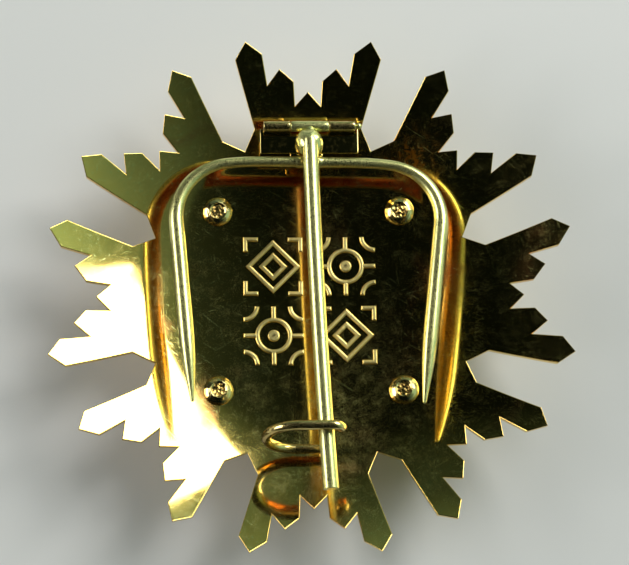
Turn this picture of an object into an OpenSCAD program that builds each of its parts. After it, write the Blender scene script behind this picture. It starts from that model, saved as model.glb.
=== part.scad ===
// Breast star of an order, lying on its front with its back facing up.
// Millimetres, +Z up. The origin is under the middle of the star, on the surface that it rests on.
// +Y points to the hinge of the pin. The eight arms are numbered clockwise from +Y.

/* [Star plate] */
// Radius of the ring that the long ray tips lie on
tip_r = 45; // [43:0.5:47]
// Radius of the inner face along the dished arms
dish_r = 93; // [85:1:120]
// Radius of the flatter inner face of the middle
middle_r = 230; // [180:5:300]
// Radius of the circle where the middle bends up into the arms
bend_r = 24.3; // [24:0.1:25]
// Thickness of the star plate
plate_t = 1.2; // [1:0.1:1.6]
// Height of the dish's lowest inner point over the surface
dish_base = 6.5; // [6:0.1:8]
// Number of arms
arm_n = 8; // [8]
// Radius of the notch between two arms
notch_r = 28.4; // [27.5:0.1:29.5]
// Radius of an arm's waist
waist_r = 31.4; // [31:0.1:32]
// Radius of the outer shoulder of a long ray
shoulder_r = 42.7; // [42:0.1:43.5]
// Radius of the inner shoulder of a long ray
long_inner_r = 42.6; // [42:0.1:43.5]
// Radius of the notch between a long and a middle ray
long_notch_r = 37.7; // [37:0.1:38.4]
// Radius of the tip of a middle ray
mid_tip_r = 39.95; // [39:0.05:41]
// Radius of the inner shoulder of a middle ray
mid_inner_r = 37.8; // [37:0.1:38.5]
// Radius of the notch beside the centre ray
short_notch_r = 33.9; // [33:0.1:35]
// Radius of the tip of the centre ray
short_tip_r = 36.1; // [35.5:0.1:37]

/* [Back ornament] */
// Side of one ornament panel
panel_w = 10.2; // [9:0.1:10.8]
// Distance of a panel's middle from the centre line, left and right
panel_x = 6.2; // [6:0.1:7]
// Middle of the upper panels
panel_top_y = 6.3; // [6:0.1:7]
// Middle of the lower panels
panel_low_y = -5.8; // [-7:0.1:-5.6]
// Width of a raised line
line_w = 0.75; // [0.5:0.05:1]
// Height of a raised line
line_h = 0.35; // [0.2:0.05:0.6]

/* [Rivets] */
// Radius of the circle that the rivets stand on
rivet_ring_r = 22.1; // [21:0.1:23]
// Shift of that circle towards the hinge
rivet_y = 0.2; // [0:0.1:0.4]
// Diameter of a rivet's domed head
rivet_d = 5; // [4:0.1:5.4]
// Height of the head
rivet_h = 1.2; // [0.8:0.1:1.6]
// Diameter of the ring pressed into the head
dimple_d = 2.9; // [2:0.1:3.2]
// Diameter of the shank
shank_d = 1.8; // [1.4:0.1:2]

/* [Hinge] */
// Middle of the hinge barrel, towards the top arm
hinge_y = 27.9; // [27.5:0.1:28.3]
// Height of the hinge axis over the dish's lowest point
hinge_h = 11.2; // [10.9:0.1:11.5]
// Outer diameter of a knuckle
knuckle_d = 1.8; // [1.6:0.1:2]
// Diameter of the hinge wire
hinge_wire_d = 0.84; // [0.6:0.02:0.9]
// Left end of the barrel
barrel_left = -7.8; // [-8.4:0.1:-7]
// Left end of the middle knuckle
middle_left = -3.2; // [-4:0.05:-3]
// Right end of the middle knuckle
middle_right = 3.15; // [3:0.05:4]
// Right end of the barrel
barrel_right = 7.6; // [7:0.1:8.4]
// How far the bracket stands out past each end of the barrel
bracket_side = 0.6; // [0.3:0.1:0.8]
// Front face of the bracket
bracket_front_y = 23.55; // [23.4:0.05:23.7]
// Height of the bracket's top over the dish's lowest point
bracket_h = 9.9; // [9.5:0.1:10.1]
// Left end of the solder between the bracket and the top bar
solder_left = -3.4; // [-4:0.1:-2.6]
// Right end of that solder
solder_right = 2.2; // [1.8:0.1:3]

/* [Pin] */
// Diameter of the pin
pin_d = 2.6; // [2.2:0.1:2.8]
// Height of the pin's axis over the dish's lowest point
pin_h = 12.5; // [12.4:0.1:12.8]
// Where the pin's axis starts, from the centre line
pin_top_x = -0.25; // [-0.5:0.05:0.6]
// Where the pin's axis ends, from the centre line
pin_end_x = 2.3; // [2:0.05:2.8]
// End of the pin, towards the bottom arm
pin_end_y = -33.8; // [-35:0.1:-30]
// Middle of the solder knob at the pin's root, and of the pin's rounded top end
knob_y = 25; // [24.8:0.1:25.2]
// Diameter of the knob
knob_d = 4.7; // [4:0.1:4.8]
// Height of the knob's middle over the dish's lowest point
knob_h = 11.35; // [11.2:0.05:11.6]
// Height of the knob's flat underside
knob_low_h = 10.25; // [10.2:0.05:10.4]

/* [Side hooks] */
// Height of the hook wire over the dish's lowest point
hook_h = 9.7; // [9.1:0.1:9.9]
// Middle of the top bar
bar_y = 22.05; // [21.9:0.05:22.15]
// Half the length of the bar's straight stretch
bar_half_w = 7.1; // [5:0.1:8]
// Radius of the slack bend that follows it
bar_bend_r = 60; // [50:5:80]
// Angle of that slack bend
bar_bend = 6.4; // [5:0.2:8]
// Radius of the two top corners, to the wire's middle
corner_r = 9.5; // [9:0.1:10.5]
// Angle by which the hooks close in from top to bottom
hook_slope = 5.85; // [4.5:0.05:6.5]
// End of the points
point_y = -18.9; // [-20:0.1:-17]
// Diameter of the bar
bar_d = 1.75; // [1.6:0.05:2]
// Diameter of a hook where it is thickest
hook_d = 2.5; // [2.2:0.1:2.6]
// Diameter of the blunt end of a point
point_d = 0.6; // [0.4:0.1:1]
// Length of the taper of a point
taper_l = 11; // [8:0.5:12]
// Small turn of the whole wire, clockwise as seen from the back
hook_turn = 0.9; // [0:0.1:1.5]
// Shift of the whole wire from the centre line
hook_x = -0.2; // [-0.5:0.1:0.5]
// Distance of a bead of solder from the centre line
bead_x = 1.5; // [1:0.1:2]
// How far a bead stands out of the bar
bead_h = 0.15; // [0:0.05:0.3]

/* [Catch] */
// Diameter of the catch wire
catch_d = 1.7; // [1.5:0.1:1.8]
// Radius of the catch's bend
catch_r = 5.4; // [5.3:0.05:5.6]
// Middle of the bend from the centre line
catch_x = -2.5; // [-3:0.1:-2]
// Middle of the bend along the star
catch_y = -24.9; // [-25.5:0.1:-24.5]
// Height of the bend's middle over the dish's lowest point
catch_h = 9.6; // [9.55:0.05:9.8]
// Lean of the catch towards the hinge
catch_lean = 11.3; // [0:0.1:15]
// Right end of the upper run
catch_top_end = 2.8; // [2.6:0.1:4.5]
// Middle of the catch's foot from the centre line
catch_foot_end = 2.4; // [2:0.1:2.6]

/* [Front] */
// Radius of the plate riveted to the front
front_plate_r = 26; // [25.5:0.1:27]
// Thickness of the front plate
front_plate_t = 0.9; // [0.6:0.1:1]
// Outer radius of the rim that the star rests on
rim_r = 15.5; // [14:0.1:17]
// Width of the rim
rim_w = 1.3; // [1:0.1:2]

/* [Hidden] */
// Gap between pieces that are fixed to each other
gap = 0.04;
// Height of a rivet head's foot over the middle, which clears the bend beside it
rivet_foot = 0.14;
// Gap between a hinge wire and its bore
running = 0.03;
// Sides of a bent wire's section
wire_sides = 16;
$fn = 96;
middle_z = dish_base + middle_r;
arms_z = middle_z - sqrt(middle_r * middle_r - bend_r * bend_r) + sqrt(dish_r * dish_r - bend_r * bend_r);
long_half = 13.86;
shoulder_half = 17.05;
long_inner_half = 10.67;
mid_half = 7.06;
mid_inner_half = 3.77;
short_notch_half = 3.67;
front_in = plate_t + gap;
front_out = front_in + front_plate_t;
front_low = dish_base - front_out;
hinge_z = dish_base + hinge_h;
pin_z = dish_base + pin_h;
hook_z = dish_base + hook_h;
bracket_z = dish_base + bracket_h;

// Point at a radius and an angle
function polar(r, a) = [r * cos(a), r * sin(a)];

// Half outline of an arm that points along +X, from its waist to the centre ray, on side s
function arm_side(s) = [
    polar(waist_r, s * shoulder_half),
    polar(shoulder_r, s * shoulder_half),
    polar(tip_r, s * long_half),
    polar(long_inner_r, s * long_inner_half),
    polar(long_notch_r, s * long_inner_half),
    polar(mid_tip_r, s * mid_half),
    polar(mid_inner_r, s * mid_inner_half),
    polar(short_notch_r, s * short_notch_half)
];

// List in reverse order
function backwards(list) = [for (i = [len(list) - 1:-1:0]) list[i]];

// Ball with its poles at the sides, so that none lies on the plate
module side_ball(z, r) {
    translate([0, 0, z]) rotate([90, 0, 0]) sphere(r = r, $fn = 360);
}

// Space over the dished inner face moved outwards by out: the flatter middle and the arms meet at the bend
module dish_space(out) {
    intersection() {
        side_ball(arms_z, dish_r + out);
        side_ball(middle_z, middle_r + out);
    }
}

// Dished wall between two offsets from the inner face
module dish_wall(in, out) {
    difference() {
        dish_space(out);
        dish_space(in);
        translate([-100, -100, dish_base + 40]) cube(200);
    }
}

// Middle of rivet i in plan, counted anticlockwise from the upper right
function rivet_place(i) = polar(rivet_ring_r, 45 + 90 * (i - 1)) + [0, rivet_y];

// Moves what is drawn at the dish's lowest point to a place in plan on the flatter middle
module on_dish(place) {
    translate([0, 0, middle_z])
        rotate([0, 0, atan2(place[1], place[0])])
            rotate([0, -asin(norm(place) / middle_r), 0])
                translate([0, 0, -middle_r])
                    children();
}

// Flat outline of one arm that points along +X
module arm_outline() {
    polygon(concat(
        [[0, 0], polar(notch_r, -180 / arm_n)],
        arm_side(-1),
        [[short_tip_r, 0]],
        backwards(arm_side(1)),
        [polar(notch_r, 180 / arm_n)]
    ));
}

// Flat outline of the star
module star_outline() {
    union() {
        circle(r = notch_r * 0.9);
        for (i = [0:arm_n - 1]) rotate([0, 0, i * 360 / arm_n]) arm_outline();
    }
}

// Rod along X from x0 to x1
module rod_x(x0, x1, r) {
    translate([x0, 0, 0]) rotate([0, 90, 0]) cylinder(h = x1 - x0, r = r, $fn = 48);
}

// Rod between two points, with a radius at each end
module rod(a, b, r0, r1) {
    d = b - a;
    translate(a)
        rotate([0, acos(d[2] / norm(d)), atan2(d[1], d[0])])
            cylinder(h = norm(d), r1 = r0, r2 = r1, $fn = 48);
}

module star_plate() {
    color("darkkhaki")
        difference() {
            intersection() {
                dish_wall(0, plate_t);
                linear_extrude(height = 30) star_outline();
            }
            for (i = [1:4]) on_dish(rivet_place(i))
                translate([0, 0, -5]) cylinder(h = 10, r = shank_d / 2 + gap, $fn = 48);
        }
}

// Flat ring with its middle at the origin
module flat_ring(r, w) {
    difference() {
        circle(r = r);
        circle(r = r - w);
    }
}

// Flat frame of a square standing on a corner
module lozenge(half, w) {
    rotate([0, 0, 45])
        difference() {
            square(half * sqrt(2), center = true);
            square(half * sqrt(2) - 2 * w, center = true);
        }
}

// Nested lozenges with angle pieces in the corners
module lozenge_panel() {
    half = panel_w / 2;
    lozenge(half * 0.92, line_w);
    lozenge(half * 0.48, line_w);
    for (i = [0:3]) rotate([0, 0, 90 * i]) {
        translate([half * 0.5, half - line_w]) square([half * 0.5, line_w]);
        translate([half - line_w, half * 0.5]) square([line_w, half * 0.5]);
    }
}

// Nested rings with quarter rings in the corners
module ring_panel() {
    half = panel_w / 2;
    flat_ring(half * 0.62, line_w);
    circle(r = half * 0.2);
    for (i = [0:3]) rotate([0, 0, 90 * i]) {
        translate([half * 0.62 - line_w / 2, -line_w / 2]) square([half * 0.38 + line_w / 2, line_w]);
        intersection() {
            translate([half, half]) flat_ring(half * 0.52, line_w);
            square(half);
        }
    }
}

// One ornament panel, raised from the dish's inner face; panels 1 and 3 hold lozenges, 2 and 4 rings
module ornament(i) {
    side = (i == 1 || i == 4) ? -1 : 1;
    y = i <= 2 ? panel_top_y : panel_low_y;
    color("palegoldenrod")
        intersection() {
            dish_wall(-gap - line_h, -gap);
            translate([side * panel_x, y, 0])
                linear_extrude(height = 20) if (i % 2 == 1) lozenge_panel(); else ring_panel();
        }
}

// Rivet i, counted anticlockwise from the upper right: domed back head, shank and low front head
module rivet(i) {
    head_r = rivet_d / 2;
    ball_r = (head_r * head_r + rivet_h * rivet_h) / (2 * rivet_h);
    dimple_r = dimple_d / 2;
    front = front_out + gap;
    color("khaki")
        on_dish(rivet_place(i)) {
            difference() {
                intersection() {
                    translate([0, 0, rivet_h - ball_r]) sphere(r = ball_r);
                    translate([0, 0, rivet_foot]) cylinder(h = rivet_h, r = head_r);
                }
                translate([0, 0, rivet_h + dimple_r * 0.7]) sphere(r = dimple_r * 1.15);
            }
            translate([0, 0, -front]) cylinder(h = front + rivet_foot + gap, r = shank_d / 2, $fn = 48);
            intersection() {
                translate([0, 0, -front + 1.5]) sphere(r = 2.2);
                translate([0, 0, -front - 1]) cylinder(h = 1, r = 2);
            }
        }
}

// Block that carries the two outer knuckles and follows the dish underneath
module hinge_bracket() {
    left = barrel_left - bracket_side;
    right = barrel_right + bracket_side;
    knuckle_r = knuckle_d / 2;
    color("goldenrod")
        difference() {
            union() {
                intersection() {
                    translate([left, bracket_front_y, dish_base])
                        cube([right - left, hinge_y - bracket_front_y, bracket_h]);
                    dish_space(-gap);
                }
                translate([solder_left, bar_y + bar_d / 2 + 3 * gap, bracket_z - 1.4])
                    cube([solder_right - solder_left, bracket_front_y - bar_y - bar_d / 2, 1.1]);
                translate([0, hinge_y, hinge_z]) rod_x(barrel_left, middle_left - 0.1, knuckle_r);
                translate([0, hinge_y, hinge_z]) rod_x(middle_right + 0.1, barrel_right, knuckle_r);
                translate([barrel_left, hinge_y - knuckle_r, bracket_z - 1])
                    cube([middle_left - 0.1 - barrel_left, knuckle_r, hinge_z - bracket_z + 1]);
                translate([middle_right + 0.1, hinge_y - knuckle_r, bracket_z - 1])
                    cube([barrel_right - middle_right - 0.1, knuckle_r, hinge_z - bracket_z + 1]);
            }
            translate([0, hinge_y, hinge_z]) rod_x(barrel_left - 1, barrel_right + 1, hinge_wire_d / 2 + running);
            translate([middle_left - 0.1, hinge_y - knuckle_r - 0.4, bracket_z - 1.2])
                cube([middle_right - middle_left + 0.2, knuckle_r + 2, 4]);
        }
}

module hinge_wire() {
    color("gold")
        translate([0, hinge_y, hinge_z]) {
            rod_x(barrel_left, barrel_right + 0.5, hinge_wire_d / 2);
            translate([barrel_right + 0.62, 0, 0]) sphere(r = 0.55, $fn = 48);
        }
}

// Points along an arc around c, from angle a0 to a1, with a wire radius that runs from r0 to r1
function arc_points(c, radius, a0, a1, n, r0, r1) = [
    for (i = [0:n]) concat(c + polar(radius, a0 + (a1 - a0) * i / n), [r0 + (r1 - r0) * i / n])
];

// Points along a straight stretch, without its first one, with a radius that runs from r0 to r1
function run_points(a, b, n, r0, r1) = [for (i = [1:n]) concat(a + (b - a) * i / n, [r0 + (r1 - r0) * i / n])];

// Short rounded end past the last point b of a stretch that comes from a
function round_end(a, b, r) = [
    for (i = [1:4]) concat(b + (b - a) / norm(b - a) * r * sin(22 * i), [r * cos(22 * i)])
];

// Ring of points around point i of a flat route of [x, y, wire radius]
function wire_ring(route, i) =
    let (
        before = route[max(i - 1, 0)],
        after = route[min(i + 1, len(route) - 1)],
        way = [after[0] - before[0], after[1] - before[1]] / norm([after[0] - before[0], after[1] - before[1]]),
        at = route[i]
    )
    [for (k = [0:wire_sides - 1]) let (a = 360 * k / wire_sides)
        [at[0] - way[1] * at[2] * cos(a), at[1] + way[0] * at[2] * cos(a), at[2] * sin(a)]];

// Round wire along a flat route
module wire(route) {
    rings = len(route);
    points = [for (i = [0:rings - 1]) each wire_ring(route, i)];
    sides = [
        for (i = [0:rings - 2]) for (k = [0:wire_sides - 1])
            let (a = i * wire_sides + k, b = i * wire_sides + (k + 1) % wire_sides)
            each [[a, b, a + wire_sides], [b, b + wire_sides, a + wire_sides]]
    ];
    first = [for (k = [wire_sides - 1:-1:0]) k];
    last = [for (k = [0:wire_sides - 1]) (rings - 1) * wire_sides + k];
    polyhedron(points = points, faces = concat([first], sides, [last]));
}

// Route of the right hook, from the bar down to its point
function hook_route() =
    let (
        bar_end = [bar_half_w, bar_y - bar_bend_r],
        corner = bar_end + polar(bar_bend_r - corner_r, 90 - bar_bend),
        top = corner + polar(corner_r, -hook_slope),
        way = polar(1, -90 - hook_slope),
        point = top + way * (top[1] - point_y) / cos(hook_slope),
        taper = point - way * taper_l
    )
    concat(
        arc_points(bar_end, bar_bend_r, 90, 90 - bar_bend, 3, bar_d / 2, bar_d / 2),
        arc_points(corner, corner_r, 85 - bar_bend, -hook_slope, 14, bar_d / 2, hook_d / 2),
        run_points(top, taper, 5, hook_d / 2, hook_d / 2),
        [for (i = [1:8]) concat(taper + way * taper_l * i / 8,
            [point_d / 2 + (hook_d - point_d) / 2 * (1 - pow(i / 8, 1.6))])],
        round_end(taper, point, point_d / 2)
    );

// Wire with a hook at each side, thickened by a bead of solder at each side of the pin
module side_hooks() {
    right = hook_route();
    left = [for (p = right) [-p[0], p[1], p[2]]];
    bar = [for (x = [-2.8:0.35:2.8]) [x, bar_y, bar_d / 2 + bead_h * max(0, 1 - pow((abs(x) - bead_x) / 0.8, 2))]];
    color("khaki")
        translate([hook_x, bar_y, hook_z])
            rotate([0, 0, -hook_turn])
                translate([0, -bar_y, 0])
                    wire(concat(backwards(left), bar, right));
}

// Wire that rises from a soldered foot, bends round and comes back over the pin
module catch() {
    wire_r = catch_d / 2;
    turn_r = 1.5;
    foot_r = 1.2;
    foot_out = norm([catch_foot_end, catch_y - 1.3]);
    floor_h = arms_z - sqrt(dish_r * dish_r - foot_out * foot_out) - dish_base;
    foot = [catch_foot_end - catch_x, (floor_h + 0.2 - catch_h) / cos(catch_lean)];
    top = [catch_top_end - catch_x, catch_r];
    turn = arc_points(top - [0, turn_r], turn_r, 90, 20, 5, wire_r, wire_r);
    route = concat(
        [concat(foot, [wire_r * 1.3])],
        arc_points([foot[0] - foot_r, -catch_r - foot_r], foot_r, 0, 90, 5, wire_r, wire_r),
        run_points([foot[0] - foot_r, -catch_r], [0, -catch_r], 2, wire_r, wire_r),
        arc_points([0, 0], catch_r, 262, 98, 20, wire_r, wire_r),
        [[0, catch_r, wire_r]],
        turn,
        round_end([turn[4][0], turn[4][1]], [turn[5][0], turn[5][1]], wire_r)
    );
    color("khaki")
        translate([catch_x, catch_y, dish_base + catch_h])
            rotate([90 - catch_lean, 0, 0])
                wire(route);
}

// Plain eight lobed plate on the front, with the rim that the star rests on
module front_plate() {
    lobe_r = front_plate_r * 0.4;
    color("goldenrod")
        difference() {
            union() {
                intersection() {
                    dish_wall(front_in, front_out);
                    linear_extrude(height = 20) union() {
                        circle(r = front_plate_r * 0.8);
                        for (i = [0:arm_n - 1]) rotate([0, 0, i * 360 / arm_n])
                            translate([front_plate_r - lobe_r, 0]) circle(r = lobe_r);
                    }
                }
                difference() {
                    cylinder(h = front_low + 2, r = rim_r);
                    translate([0, 0, -1]) cylinder(h = front_low + 4, r = rim_r - rim_w);
                    dish_space(front_out - 0.3);
                }
            }
            for (i = [1:4]) on_dish(rivet_place(i))
                translate([0, 0, -5]) cylinder(h = 10, r = shank_d / 2 + gap, $fn = 48);
        }
}

// Plain domed disc inside the rim
module front_boss() {
    boss_r = rim_r - rim_w - gap;
    boss_h = front_low - 0.5;
    ball_r = (boss_r * boss_r + boss_h * boss_h) / (2 * boss_h);
    color("gold")
        intersection() {
            translate([0, 0, 0.4 + ball_r]) sphere(r = ball_r, $fn = 200);
            translate([0, 0, 0.2]) cylinder(h = front_low - 0.2 - gap, r = boss_r);
        }
}

// Pin with its root, which turns on the hinge wire with the middle knuckle
module pin() {
    root = [pin_top_x, knob_y, pin_z];
    tip = [pin_end_x, pin_end_y, pin_z];
    knob_r = knob_d / 2;
    color("khaki")
        difference() {
            union() {
                rod(root, tip, pin_d / 2, pin_d / 2);
                translate(root) sphere(r = pin_d / 2 + gap / 2, $fn = 48);
                difference() {
                    translate([pin_top_x / 2, knob_y, dish_base + knob_h]) sphere(r = knob_r, $fn = 64);
                    translate([-knob_r * 2, knob_y - knob_r * 2, dish_base + knob_low_h - knob_r * 2])
                        cube(knob_r * [4, 4, 2]);
                }
                translate([0, hinge_y, hinge_z]) rod_x(middle_left, middle_right, knuckle_d / 2);
            }
            translate([0, hinge_y, hinge_z]) rod_x(middle_left - 1, middle_right + 1, hinge_wire_d / 2 + running);
        }
}

star_plate();
ornament(1);  // ornament_1
ornament(2);  // ornament_2
ornament(3);  // ornament_3
ornament(4);  // ornament_4
rivet(1);  // rivet_1
rivet(2);  // rivet_2
rivet(3);  // rivet_3
rivet(4);  // rivet_4
hinge_bracket();
hinge_wire();
side_hooks();
catch();
front_plate();
front_boss();
pin();
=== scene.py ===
from math import cos, hypot, pi, radians, sin, sqrt

import bpy
import numpy as np
from mathutils import Matrix, Vector, noise


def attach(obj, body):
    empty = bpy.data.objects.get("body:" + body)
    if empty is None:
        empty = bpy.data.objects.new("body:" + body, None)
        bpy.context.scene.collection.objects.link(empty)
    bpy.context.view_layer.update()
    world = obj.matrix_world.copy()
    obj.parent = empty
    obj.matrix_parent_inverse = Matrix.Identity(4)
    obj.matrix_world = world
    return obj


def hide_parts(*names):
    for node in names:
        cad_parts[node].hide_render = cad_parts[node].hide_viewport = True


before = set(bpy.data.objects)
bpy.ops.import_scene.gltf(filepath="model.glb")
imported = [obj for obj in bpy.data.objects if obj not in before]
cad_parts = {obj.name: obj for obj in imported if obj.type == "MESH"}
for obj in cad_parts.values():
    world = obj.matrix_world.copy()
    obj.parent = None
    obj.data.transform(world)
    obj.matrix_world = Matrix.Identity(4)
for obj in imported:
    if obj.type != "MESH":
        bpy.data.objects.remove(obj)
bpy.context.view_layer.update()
print("frame loaded:", len(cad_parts), "nodes")

mm = 0.001  # sizes below are in millimetres and angles in degrees, the scene is in metres
scene = bpy.context.scene

# Camera, at the photograph's angle

camera = {
    "place": (-16.14, -86.81, 371.29),
    "turn": (13.91, -2.59, -0.28),  # round X, then Y, then Z
    "focalPixels": 2200.0,
    "imageWidth": 629,
    "sensor": 36.0,
    "clipStart": 10.0,
}


def makeCamera():
    data = bpy.data.cameras.new("camera")
    data.sensor_fit = "HORIZONTAL"
    data.sensor_width = camera["sensor"]
    data.lens = camera["focalPixels"] / camera["imageWidth"] * camera["sensor"]
    data.clip_start = camera["clipStart"] * mm
    turn = Matrix.Identity(4)
    for angle, axis in zip(camera["turn"], "XYZ"):
        turn = turn @ Matrix.Rotation(radians(angle), 4, axis)
    cameraObject = bpy.data.objects.new("camera", data)
    cameraObject.matrix_world = Matrix.Translation(Vector(camera["place"]) * mm) @ turn
    scene.collection.objects.link(cameraObject)
    scene.camera = cameraObject


makeCamera()

# Materials


def linear(hexColour):
    # sRGB hex to the linear values that shaders take
    channels = []
    for start in (0, 2, 4):
        c = int(hexColour[start:start + 2], 16) / 255
        channels.append(c / 12.92 if c <= 0.04045 else ((c + 0.055) / 1.055) ** 2.4)
    return (*channels, 1.0)


def addNode(tree, kind, inputs=None, **settings):
    node = tree.nodes.new("ShaderNode" + kind)
    for key, value in settings.items():
        setattr(node, key, value)
    for key, value in (inputs or {}).items():
        if isinstance(value, bpy.types.NodeSocket):
            tree.links.new(value, node.inputs[key])
        else:
            node.inputs[key].default_value = value
    return node


def perMetre(size):
    return 1.0 / (size * mm)  # the noise scale whose features are this many millimetres wide


def newMaterial(name):
    material = bpy.data.materials.new(name)
    material.use_nodes = True
    tree = material.node_tree
    shader = tree.nodes["Principled BSDF"]
    place = addNode(tree, "TexCoord").outputs["Object"]
    return material, tree, shader, place


def clouds(tree, place, size, low, high, drawing, most=1.0):
    # patches about size wide: none where the noise is under low, at their most where it is over high
    pattern = addNode(tree, "TexNoise", {"Vector": place, "Scale": perMetre(size), **drawing})
    levels = {"Value": pattern.outputs["Fac"], "From Min": low, "From Max": high, "To Max": most}
    return addNode(tree, "MapRange", levels).outputs[0]


def nearness(tree, place, middle, near, far):
    # 1 within near of middle, down to 0 at far
    middle = [n * mm for n in middle]
    away = addNode(tree, "VectorMath", {0: place, 1: middle}, operation="DISTANCE").outputs["Value"]
    return addNode(tree, "MapRange", {"Value": away, "From Min": far * mm, "From Max": near * mm}).outputs[0]


def strongest(tree, *patterns):
    top = patterns[0]
    for pattern in patterns[1:]:
        top = addNode(tree, "Math", {0: top, 1: pattern}, operation="MAXIMUM").outputs[0]
    return top


def layered(tree, base, layers):
    # base, with each layer's pattern added as strongly as it says
    for pattern, strength in layers:
        base = addNode(tree, "Math", {0: pattern, 1: strength, 2: base}, operation="MULTIPLY_ADD").outputs[0]
    return base


def painted(tree, base, layers):
    # base colour, with each layer's colour laid over it where its pattern is, as strongly as it says
    colour = linear(base)
    for pattern, strength, over in layers:
        share = addNode(tree, "Math", {0: pattern, 1: strength}, operation="MULTIPLY").outputs[0]
        mix = addNode(tree, "Mix", {"Factor": share, 6: colour, 7: linear(over)}, data_type="RGBA")
        colour = mix.outputs[2]
    return colour


def finishMetal(tree, shader, colour, rough, height, bumpHeight):
    bump = addNode(tree, "Bump", {"Height": height, "Distance": bumpHeight * mm, "Strength": 1.0})
    for value, socket in ((rough, "Roughness"), (colour, "Base Color"), (bump.outputs[0], "Normal")):
        tree.links.new(value, shader.inputs[socket])
    shader.inputs["Metallic"].default_value = 1.0


plateGilding = {
    "gold": "F4CE6E",
    "worn": "E0CA76",
    "rubbed": "B6CA84",  # where fine marks have rubbed through the gold
    "tarnish": "C07A4A",  # where the gilding has worn thin and the brass has turned
    # painted reflection: orange colour laid onto the sheet in one mottled patch
    "paintedOrangeReflection": "C07818",
    "roughness": 0.05,  # of the bare mirror; each of the next five adds to it
    "scratchRoughness": 0.14,
    "hazeRoughness": 0.05,
    "tarnishRoughness": 0.12,
    "paintedReflectionRoughness": 0.45,
    "markRoughness": 0.42,
    # direction, length, width, the noise level where one starts, and seed; drawn as wide as the render needs
    "scratches": [(35, 3.5, 0.11, 0.68, 0.1), (-28, 2.8, 0.10, 0.69, 0.5), (80, 2.2, 0.10, 0.70, 0.9)],
    "scratchSoftness": 0.05,
    "scratchBend": 4.0,
    "scratchBendLength": 14.0,
    # patches: their width, the noise levels where they start and are full, how the noise is drawn,
    # and the most they cover
    "hazePatches": (7, 0.42, 0.75, {"Detail": 5.0, "Roughness": 0.6}),
    "tarnishPatches": (11, 0.56, 0.74, {"Detail": 4.0, "Distortion": 0.6}, 0.75),
    "paintedReflectionMottle": (1.6, 0.38, 0.69, {"Detail": 8.0, "Roughness": 0.7, "Distortion": 0.8}),
    "paintedReflectionMiddle": (18.3, 25.3, 9.5),  # middle of an orange reflection painted onto the sheet as a mottled patch
    "paintedReflectionReach": (1.0, 7.5),
    "paintedReflectionCover": 2.0,
    "markSize": 0.05,  # too fine to see one by one, together they veil the mirror
    "markLevels": (0.61, 0.81),
    "veilSize": 3.0,
    "veilStrength": 0.45,
    "handled": (8.0, -21.0, 7.0),  # middle of the patch that cloths and thumbs reach most, beside the catch
    "handledReach": (3.0, 24.0),
    "handledStrength": 0.07,
    "rubbedCover": 0.7,
    "waveSize": 9.0,  # the sheet's own unevenness
    "scratchDepth": 0.05,  # as a share of the waves' height
    "bumpHeight": 0.006,
}


def streaks(tree, place, angle, length, width, level, seed):
    # fine scratches: noise drawn out to the scratch's length along one direction, cut off at a high level
    g = plateGilding
    aim = {"Vector": place, "Rotation": (0, 0, radians(angle)), "Location": (seed, 0, 0)}
    aimed = addNode(tree, "Mapping", aim)
    bendScale = perMetre(g["scratchBendLength"])
    bend = addNode(tree, "TexNoise", {"Vector": place, "Scale": bendScale, "Detail": 1.0})
    sideways = (g["scratchBend"] * mm, g["scratchBend"] * mm, 0.0)
    warp = addNode(tree, "VectorMath", {0: bend.outputs["Color"], 1: sideways}, operation="MULTIPLY")
    bent = addNode(tree, "VectorMath", {0: aimed.outputs[0], 1: warp.outputs[0]}, operation="ADD")
    squeeze = (width / length, 1.0, 1.0)
    drawn = addNode(tree, "VectorMath", {0: bent.outputs[0], 1: squeeze}, operation="MULTIPLY")
    return clouds(tree, drawn.outputs[0], width * 2, level, level + g["scratchSoftness"], {"Detail": 1.0})


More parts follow.
